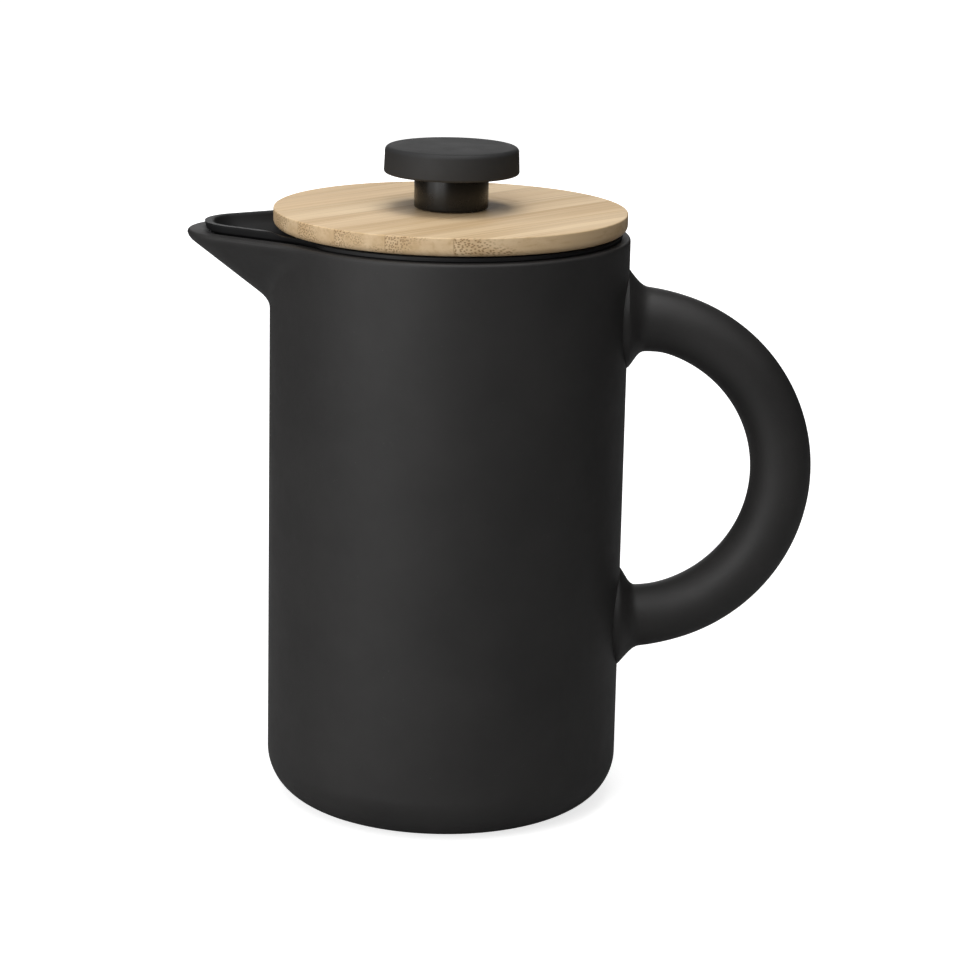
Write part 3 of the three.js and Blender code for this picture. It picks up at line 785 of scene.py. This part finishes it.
def collar():
    """The black insert: its shell, a ribbed web with a hub and screw bosses, and strainer bars."""
    web_radius = SKIRT_RADIUS - 0.7 * MM
    web_bottom = SKIRT_TOP - WEB_THICKNESS
    web_middle = SKIRT_TOP - WEB_THICKNESS / 2
    web = turned(softened([
        (0, web_bottom, 0),
        (web_radius, web_bottom, 0.2 * MM),
        (web_radius, SKIRT_TOP, 0.3 * MM),
        (0, SKIRT_TOP, 0),
    ]), 192)
    hub = stud(HUB_RADIUS, HUB_BOTTOM, 0.5 * MM, 64)
    boss_bottom = web_bottom - BOSS_DEPTH
    boss = stud(BOSS_RADIUS, boss_bottom, 0.3 * MM, 40)
    rib_half, rib_depth = 0.8 * MM, 5 * MM
    rib = block(
        (HUB_RADIUS - SPARE, -rib_half, web_middle - rib_depth), (web_radius, rib_half, web_middle)
    )
    bar_place = SKIRT_RADIUS - SKIRT_WALL / 2
    bar_deep, bar_wide = 0.55 * MM, 0.65 * MM
    bar = block(
        (bar_place - bar_deep, -bar_wide, BAR_BOTTOM), (bar_place + bar_deep, bar_wide, web_middle)
    )
    bar_numbers = range(-BARS_EACH_SIDE, BARS_EACH_SIDE + 1)
    bars = [moved(bar, turn=math.pi + BAR_STEP * number) for number in bar_numbers]
    cut = [post(GUIDE_HOLE, HUB_BOTTOM - SPARE, SKIRT_TOP + SPARE, 64)]
    cut += screw_places(post(SCREW_SHANK + GAP, boss_bottom - SPARE, SKIRT_TOP + SPARE, 32))
    joined = [web, hub, *ring_of(rib, RIB_COUNT), *screw_places(boss), *bars]
    obj = combined("collar_insert", collar_shell(), joined, cut)
    piece(obj, "lid", COLLAR_PLASTIC, "black_plastic", "lid_collar")


def seal():
    """A silicone band with two rounded ribs."""
    low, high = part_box("lid_seal")
    inner = SKIRT_RADIUS - GROOVE_DEPTH + GAP
    depth = high.x - inner
    steps, ribs, valley = 40, 2, 0.7
    points = [(inner, low.z)]
    for step in range(steps + 1):
        wave = 0.5 - 0.5 * math.cos(TAU * ribs * step / steps)
        reach = depth * (valley + (1 - valley) * wave)
        points.append((inner + reach, low.z + (high.z - low.z) * step / steps))
    points.append((inner, high.z))
    obj = mesh_object("seal_band", turned(points, 224, closed=True))
    piece(obj, "lid", SILICONE, "silicone", "lid_seal")


def thread_outline(bottom, top, rings=9, steps=8):
    """Points up a screw's shank, with its thread as plain rings."""
    points = []
    for step in range(rings * steps + 1):
        crest = abs(math.sin(math.pi * step / steps))
        height = bottom + (top - bottom) * step / (rings * steps)
        points.append((SCREW_CORE + (SCREW_SHANK - SCREW_CORE) * crest, height))
    return points


def lid_screws():
    """Pan-head screws with a crossed recess."""
    head = 1.8 * MM
    recess_half, recess_side, recess_depth = 2 * MM, 0.4 * MM, 1 * MM
    for number, angle in enumerate(SCREW_ANGLES, 1):
        low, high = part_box(f"lid_screw_{number}")
        head_top = low.z + head
        outline = softened([
            (0, low.z, 0),
            (SCREW_HEAD, low.z, 0.8 * MM),
            (SCREW_HEAD, head_top, 0.2 * MM),
            (SCREW_CORE, head_top, 0),
        ])
        thread = thread_outline(head_top, high.z - SCREW_SHANK)
        body = turned([*outline[:-1], *thread, (0, high.z)], 40)
        slot = block(
            (-recess_half, -recess_side, low.z - SPARE), (recess_half, recess_side, low.z + recess_depth)
        )
        obj = combined(f"pan_screw_{number}", body, cut=[slot, moved(slot, turn=math.pi / 2)])
        place = (SCREW_CIRCLE * math.cos(angle), SCREW_CIRCLE * math.sin(angle), 0)
        obj.data.transform(Matrix.Translation(place))
        piece(obj, "lid", STEEL, "steel", f"lid_screw_{number}")


def rod_guide():
    """The flanged bush that the rod slides in, with a groove for its clip."""
    clip_low, clip_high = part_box("guide_clip")
    play = 0.15 * MM
    groove, groove_low, groove_high = 3.7 * MM, clip_low.z - play, clip_high.z + play
    inner = ROD_RADIUS + RUNNING
    flange_bottom = GUIDE_HIGH.z - 0.95 * MM
    bush = bored([
        (inner, GUIDE_LOW.z, 0.15 * MM),
        (GUIDE_RADIUS, GUIDE_LOW.z, 0.3 * MM),
        (GUIDE_RADIUS, groove_low, 0),
        (groove, groove_low, 0),
        (groove, groove_high, 0),
        (GUIDE_RADIUS, groove_high, 0),
        (GUIDE_RADIUS, flange_bottom, 0),
        (GUIDE_HIGH.x, flange_bottom, 0.15 * MM),
        (GUIDE_HIGH.x, GUIDE_HIGH.z, 0.3 * MM),
        (inner, GUIDE_HIGH.z, 0.3 * MM),
    ], 96)
    obj = mesh_object("guide_bush", bush)
    piece(obj, "guide", STEEL, "steel", "rod_guide")


def guide_clip():
    """An open spring ring of flat wire, with rounded corners."""
    low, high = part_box("guide_clip")
    inner, outer = 3.77 * MM, 6.2 * MM
    mouth = math.radians(50)
    middle, half = (inner + outer) / 2, (outer - inner) / 2
    edge = 0.12 * MM
    profile = softened([
        (-half, low.z, edge),
        (half, low.z, edge),
        (half, high.z, edge),
        (-half, high.z, edge),
    ], closed=True, steps=3)
    vertices, faces = [], []
    steps, count = 72, len(profile)
    for step in range(steps + 1):
        angle = mouth / 2 + (TAU - mouth) * step / steps
        for across, height in profile:
            radius = middle + across
            vertices.append((radius * math.cos(angle), radius * math.sin(angle), height))
    for step in range(steps):
        here, there = step * count, (step + 1) * count
        for corner in range(count):
            after = (corner + 1) % count
            faces.append([here + after, here + corner, there + corner, there + after])
    faces.append(list(range(count)))
    faces.append([steps * count + corner for corner in range(count)][::-1])
    obj = mesh_object("retaining_clip", (vertices, faces))
    piece(obj, "guide", STEEL, "steel", "guide_clip")


# ---------------- the knob and the rod

def knob_cap():
    """The flat cap, with a socket under it for the stem's spigot."""
    socket, socket_top = SPIGOT_RADIUS + GAP, STEM_HIGH.z + GAP
    draft = 0.3 * MM
    top_rings = (14 * MM, 7 * MM)
    outline = softened([
        (0, socket_top, 0),
        (socket, socket_top, 0),
        (socket, KNOB_LOW.z, 0.3 * MM),
        (KNOB_HIGH.x, KNOB_LOW.z, 0.7 * MM),
        (KNOB_HIGH.x - draft, KNOB_HIGH.z, 1.4 * MM),
        *[(ring, KNOB_HIGH.z, 0) for ring in top_rings],
        (0, KNOB_HIGH.z, 0),
    ], steps=9)
    obj = mesh_object("knob_disc", turned(outline, 192))
    piece(obj, "plunger", KNOB_PLASTIC, "knob_plastic", "knob_cap")


def knob_stem():
    """The stem, with a spigot up into the cap and a pocket for the brass insert."""
    insert_low, insert_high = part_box("knob_insert")
    shoulder = KNOB_LOW.z - GAP
    pocket, pocket_bottom = insert_high.x + GAP, insert_low.z - GAP
    stem = bored([
        (ROD_HOLE, STEM_LOW.z, 0.3 * MM),
        (STEM_RADIUS, STEM_LOW.z, 0.6 * MM),
        (STEM_RADIUS, shoulder, 0.2 * MM),
        (SPIGOT_RADIUS, shoulder, 0),
        (SPIGOT_RADIUS, STEM_HIGH.z, 0.3 * MM),
        (pocket, STEM_HIGH.z, 0.2 * MM),
        (pocket, pocket_bottom, 0),
        (ROD_HOLE, pocket_bottom, 0),
    ], 128)
    obj = mesh_object("knob_neck", stem)
    piece(obj, "plunger", STEM_PLASTIC, "black_plastic", "knob_stem")


def knob_insert():
    """A knurled brass bush with a waist that the plastic grips."""
    low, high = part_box("knob_insert")
    middle = (low.z + high.z) / 2
    waist, waist_half = high.x - 0.6 * MM, 0.8 * MM
    waist_edge = 0.1 * MM
    vertices, faces = bored([
        (ROD_HOLE, low.z, 0.2 * MM),
        (high.x, low.z, 0.25 * MM),
        (high.x, middle - waist_half, waist_edge),
        (waist, middle - waist_half, waist_edge),
        (waist, middle + waist_half, waist_edge),
        (high.x, middle + waist_half, waist_edge),
        (high.x, high.z, 0.25 * MM),
        (ROD_HOLE, high.z, 0.2 * MM),
    ], 120, steps=3)
    knurled = []
    for index, (x, y, z) in enumerate(vertices):
        is_outside = math.hypot(x, y) > high.x - 0.05 * MM
        is_valley = index % 4 >= 2
        factor = 0.96 if is_outside and is_valley else 1
        knurled.append((x * factor, y * factor, z))
    obj = mesh_object("threaded_insert", (knurled, faces))
    piece(obj, "plunger", BRASS, "brass", "knob_insert")


def plunger_rod():
    """The plain rod with rounded ends, and two rings that break up its long faces."""
    rings = (60 * MM, 120 * MM)
    outline = softened([
        (0, ROD_LOW.z, 0),
        (ROD_RADIUS, ROD_LOW.z, 0.5 * MM),
        *[(ROD_RADIUS, height, 0) for height in rings],
        (ROD_RADIUS, ROD_HIGH.z, 0.5 * MM),
        (0, ROD_HIGH.z, 0),
    ])
    obj = mesh_object("steel_rod", turned(outline, 64))
    piece(obj, "plunger", STEEL, "steel", "plunger_rod")


# ---------------- the filter

def rod_hub():
    """The domed nut that clamps the filter, with two wrench flats."""
    low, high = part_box("rod_hub")
    neck, neck_edge = 4.2 * MM, 0.3 * MM
    shoulder = low.z + 1.5 * MM
    outline = [
        *softened([
            (ROD_HOLE, low.z, 0),
            (ROD_HOLE + 0.2 * MM, low.z, 0),
            (high.x, low.z, 0.4 * MM),
            (high.x, shoulder, 0),
        ]),
        *arc(neck, shoulder, high.x - neck, 4, 84, 14),
        (neck, high.z - neck_edge),
        (neck - neck_edge, high.z),
        (ROD_HOLE, high.z),
    ]
    cutter_at, cutter_half, cutter_reach = 4.988 * MM, 1.5 * MM, 6 * MM
    flat_bottom = high.z - 2.2 * MM
    flats = [
        block((side * cutter_at - cutter_half, -cutter_reach, flat_bottom),
              (side * cutter_at + cutter_half, cutter_reach, high.z + SPARE))
        for side in (-1, 1)
    ]
    obj = combined("hub_nut", turned(outline, 96, closed=True), cut=flats)
    piece(obj, "plunger", STEEL, "steel", "rod_hub")


def spiral_plate():
    """The dished plate: rings of holes, a raised bead and a turned-up edge that carries the spring."""
    low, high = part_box("spiral_plate")
    radius = high.x
    bottom, thickness = low.z, 0.8 * MM
    inside = bottom + thickness
    bead_height, bead_edge = 0.35 * MM, 0.5 * MM
    bead_under = [radius * share for share in (0.40, 0.42, 0.46, 0.48)]
    bead_over = [radius * share for share in (0.395, 0.415, 0.465, 0.485)]
    plate = bored([
        (ROD_HOLE, bottom, 0.1 * MM),
        (bead_under[0], bottom, bead_edge),
        (bead_under[1], bottom + bead_height, bead_edge),
        (bead_under[2], bottom + bead_height, bead_edge),
        (bead_under[3], bottom, bead_edge),
        (radius, bottom, 1.4 * MM),
        (radius, high.z, 0.25 * MM),
        (radius - thickness, high.z, 0.25 * MM),
        (radius - thickness, inside, 0.6 * MM),
        (bead_over[3], inside, bead_edge),
        (bead_over[2], inside + bead_height, bead_edge),
        (bead_over[1], inside + bead_height, bead_edge),
        (bead_over[0], inside, bead_edge),
        (ROD_HOLE, inside, 0.1 * MM),
    ], 192, steps=4)
    cut_top = bottom + 2 * MM
    hole = post(radius * 0.13, bottom - SPARE, cut_top, 48)
    small = post(radius * 0.035, bottom - SPARE, cut_top, 24)
    cut = ring_of(hole, PLATE_HOLES, radius * 0.66)
    for share in (0.86, 0.26):
        cut += ring_of(small, PLATE_HOLES, radius * share, TAU / (2 * PLATE_HOLES))
    obj = combined("spring_plate", plate, cut=cut)
    piece(obj, "plunger", PLATE_STEEL, "steel", "spiral_plate")


def edge_spring():
    """A close-wound coil whose ends meet, bent into a ring round the plate's edge."""
    low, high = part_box("edge_spring")
    section = (high.z - low.z) / 2
    circle = high.x - section
    wire, wire_sides = 0.36 * MM, 7
    coil = section - wire
    turns, points = 150, 11
    up = Vector((0, 0, 1))
    centres, normals = [], []
    for step in range(turns * points):
        around = TAU * step / (turns * points)
        twist = TAU * step / points
        outward = Vector((math.cos(around), math.sin(around), 0))
        spoke = outward * math.cos(twist) + up * math.sin(twist)
        centres.append(outward * circle + up * (low.z + section) + spoke * coil)
        normals.append(spoke)
    part = swept(centres, [wire] * len(centres), normals, wire_sides, closed=True)
    obj = mesh_object("coil_spring", part)
    piece(obj, "plunger", WIRE, "steel", "edge_spring", sharp=80)


def mesh_screen():
    """Plain-woven wire in a thin rim that turns up round the spring."""
    low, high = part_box("mesh_screen")
    radius, thickness, edge = high.x, 0.5 * MM, 0.1 * MM
    upper = low.z + thickness
    rim_inner, eyelet_radius = radius - 3.6 * MM, 6.5 * MM
    rim = bored([
        (rim_inner, low.z, edge),
        (radius, low.z, 1.1 * MM),
        (radius, high.z, 0.2 * MM),
        (radius - thickness, high.z, 0.2 * MM),
        (radius - thickness, upper, 0.6 * MM),
        (rim_inner, upper, edge),
    ], 192, steps=4)
    eyelet = flat_ring(eyelet_radius, low.z, upper, edge, edge, 64, steps=3)
    reach, inner = radius - 2.2 * MM, 5.6 * MM
    middle = low.z + thickness / 2
    count = int(reach / WEAVE_PITCH)
    parts = [rim, eyelet]
    for row in range(-count, count + 1):
        offset = row * WEAVE_PITCH
        half = math.sqrt(reach ** 2 - offset ** 2)
        spans = [(-half, half)]
        if abs(offset) < inner:
            gap = math.sqrt(inner ** 2 - offset ** 2)
            spans = [(-half, -gap), (gap, half)]
        for start, end in spans:
            parts += [woven_wire(row, start, end, middle, turn) for turn in (0, 1)]
    obj = mesh_object("woven_screen", merged(*parts))
    piece(obj, "plunger", WIRE, "steel", "mesh_screen", sharp=75)


def woven_wire(row, start, end, middle, turn):
    """One wire of the weave, over one crossing wire and under the next. turn 1 runs it along Y."""
    offset, half_pitch = row * WEAVE_PITCH, WEAVE_PITCH / 2
    centres = []
    for half_step in range(math.ceil(start / half_pitch), math.floor(end / half_pitch) + 1):
        side = 0
        if half_step % 2 == 0:
            side = 1 if (half_step // 2 + row + turn) % 2 else -1
        along = half_step * half_pitch
        place = (along, offset) if turn == 0 else (offset, along)
        centres.append(Vector((*place, middle + side * WEAVE_LIFT)))
    across = Vector((0, 0, 1))
    return swept(centres, [WEAVE_WIRE] * len(centres), [across] * len(centres), 4)


def cross_plate():
    """The stiff bottom plate: eight windows, and a ring of small drain holes."""
    low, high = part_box("cross_plate")
    radius, bottom, top = high.x, low.z, high.z
    plate = flat_ring(radius, bottom, top, 0.35 * MM, 0.15 * MM, 192)
    window = post(radius * 0.18, bottom - SPARE, top + SPARE, 56)
    drain = post(radius * 0.08, bottom - SPARE, top + SPARE, 32)
    cut = ring_of(window, PLATE_HOLES, radius * 0.7)
    cut += ring_of(drain, PLATE_HOLES, radius * 0.36, TAU / (2 * PLATE_HOLES))
    obj = combined("cross_disc", plate, cut=cut)
    piece(obj, "plunger", PLATE_STEEL, "steel", "cross_plate")


def washer():
    low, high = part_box("washer")
    obj = mesh_object("flat_washer", flat_ring(high.x, low.z, high.z, 0.2 * MM, 0.1 * MM, 72))
    piece(obj, "plunger", STEEL, "steel", "washer")


def lock_nut():
    """A hexagon nut with its corners chamfered both ends."""
    low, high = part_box("lock_nut")
    corner = high.x
    flat = corner * math.cos(math.pi / 6)
    chamfer, past_corner, around = 0.7 * MM, 0.2 * MM, 2 * MM
    kept = turned([
        (0, low.z),
        (flat, low.z),
        (corner + past_corner, low.z + chamfer),
        (corner + past_corner, high.z - chamfer),
        (flat, high.z),
        (0, high.z),
    ], 96)
    mould = combined("nut_mould", post(corner * 2, low.z - around, high.z + around, 48), cut=[kept])
    cutter = (
        [vertex.co.copy() for vertex in mould.data.vertices],
        [list(polygon.vertices) for polygon in mould.data.polygons],
    )
    bpy.data.objects.remove(mould)
    prism = post(corner, low.z, high.z, 6)
    bore = post(ROD_HOLE, low.z - SPARE, high.z + SPARE, 48)
    obj = combined("hex_nut", prism, cut=[cutter, bore])
    piece(obj, "plunger", STEEL, "steel", "lock_nut", sharp=20)


# ---------------- floor, light and camera

CAMERA_TARGET = Vector((11.084, 0, 90.344)) * MM
CAMERA_DISTANCE = 878.667 * MM
CAMERA_ELEVATION = math.radians(14.289)
CAMERA_ROLL = math.radians(1.26)
CAMERA_LENS = 115.05
CAMERA_SENSOR = 36
CAMERA_SEES_TO = 50

SOFTBOX_SIZE = 0.75
SOFTBOX_DISTANCE = 1.25
SOFTBOX_AIM = Vector((0, 0, 0.09))
SOFTBOXES = [  # name, azimuth and elevation in degrees, power in watts
    ("front", -15, 48, 5.4),
    ("front_left", -34, 12, 4.8),
    ("left", -58, 12, 3.1),
    ("high_left", -90, 48, 0.9),
    ("high_right", 50, 48, 1.7),
    ("behind", 180, 12, 1.9),
    ("above", 0, 89, 8.3),
]
PAPER_REACH = 8.0


def camera():
    """The camera, which looks along +Y and a little down, rolled slightly about its line of sight."""
    away = Vector((0, -math.cos(CAMERA_ELEVATION), math.sin(CAMERA_ELEVATION)))
    data = bpy.data.cameras.new("camera")
    data.lens = CAMERA_LENS
    data.sensor_width = CAMERA_SENSOR
    data.clip_end = CAMERA_SEES_TO
    obj = bpy.data.objects.new("camera", data)
    looking = (-away).to_track_quat("-Z", "Y").to_matrix().to_4x4()
    roll = Matrix.Rotation(CAMERA_ROLL, 4, "Z")
    obj.matrix_world = Matrix.Translation(CAMERA_TARGET + away * CAMERA_DISTANCE) @ looking @ roll
    scene.collection.objects.link(obj)
    scene.camera = obj


def softbox(name, azimuth, elevation, power):
    """A square softbox aimed at the press. Azimuth is 0 at the camera's side and grows to its right."""
    turn, rise = math.radians(azimuth), math.radians(elevation)
    away = Vector((math.sin(turn) * math.cos(rise), -math.cos(turn) * math.cos(rise), math.sin(rise)))
    data = bpy.data.lights.new(name, "AREA")
    data.shape = "SQUARE"
    data.size = SOFTBOX_SIZE
    data.energy = power
    obj = bpy.data.objects.new(name, data)
    aim = (-away).to_track_quat("-Z", "Y").to_matrix().to_4x4()
    obj.matrix_world = Matrix.Translation(SOFTBOX_AIM + away * SOFTBOX_DISTANCE) @ aim
    scene.collection.objects.link(obj)


def paper(name, height, darker, lighter):
    """A wide sheet of studio paper between two tones, and its shader."""
    signs = ((-1, -1), (1, -1), (1, 1), (-1, 1))
    corners = [(x * PAPER_REACH, y * PAPER_REACH, height) for x, y in signs]
    obj = mesh_object(name, (corners, [[0, 1, 2, 3]]))
    s = Shader(name)
    fibre = s.remap(s.noise(220, 3), 0.3, 0.7, darker, lighter)
    colour = s.add("ShaderNodeCombineColor", {0: fibre, 1: fibre, 2: fibre}).outputs[0]
    s.finish(Base_Color=colour, Roughness=0.9, Specular_IOR_Level=0.1)
    obj.data.materials.append(s.material)
    return obj, s


def floor():
    """White paper whose glow is dimmed round the press: a painted shade, in which the press's real
    shadow shows.

    The glow is only for show: a plain sheet just below it bounces the softboxes' light.
    """
    near, far, painted_shade_glow, far_glow = 0.12, 0.6, 0.76, 1.0
    shown, s = paper("studio_floor", 0, 0.78, 0.82)
    away = s.add("ShaderNodeVectorMath", {0: s.place}, operation="LENGTH").outputs["Value"]
    # Painted shade: the floor's glow is dimmed close round the press.
    glow = s.remap(away, near, far, painted_shade_glow, far_glow)
    s.finish(Emission_Color=(1, 1, 1, 1), Emission_Strength=glow)
    shown.visible_diffuse = False
    shown.visible_glossy = False
    shown.visible_shadow = False
    bounce, _ = paper("studio_bounce", -1 * MM, 0.32, 0.36)
    bounce.visible_camera = False


def studio():
    """A white room seen by the camera only, and softboxes that light the press."""
    world = bpy.data.worlds.new("studio")
    world.use_nodes = True
    background = world.node_tree.nodes["Background"]
    background.inputs["Color"].default_value = (1, 1, 1, 1)
    background.inputs["Strength"].default_value = 1
    world.cycles_visibility.diffuse = False
    world.cycles_visibility.glossy = False
    world.cycles_visibility.transmission = False
    scene.world = world
    for name, azimuth, elevation, power in SOFTBOXES:
        softbox(name, azimuth, elevation, power)
    scene.view_settings.view_transform = "Standard"


# ---------------- the whole press

camera()
studio()
floor()
pot()
bamboo_disc()
collar()
seal()
lid_screws()
rod_guide()
guide_clip()
knob_cap()
knob_stem()
knob_insert()
plunger_rod()
rod_hub()
spiral_plate()
edge_spring()
mesh_screen()
cross_plate()
washer()
lock_nut()
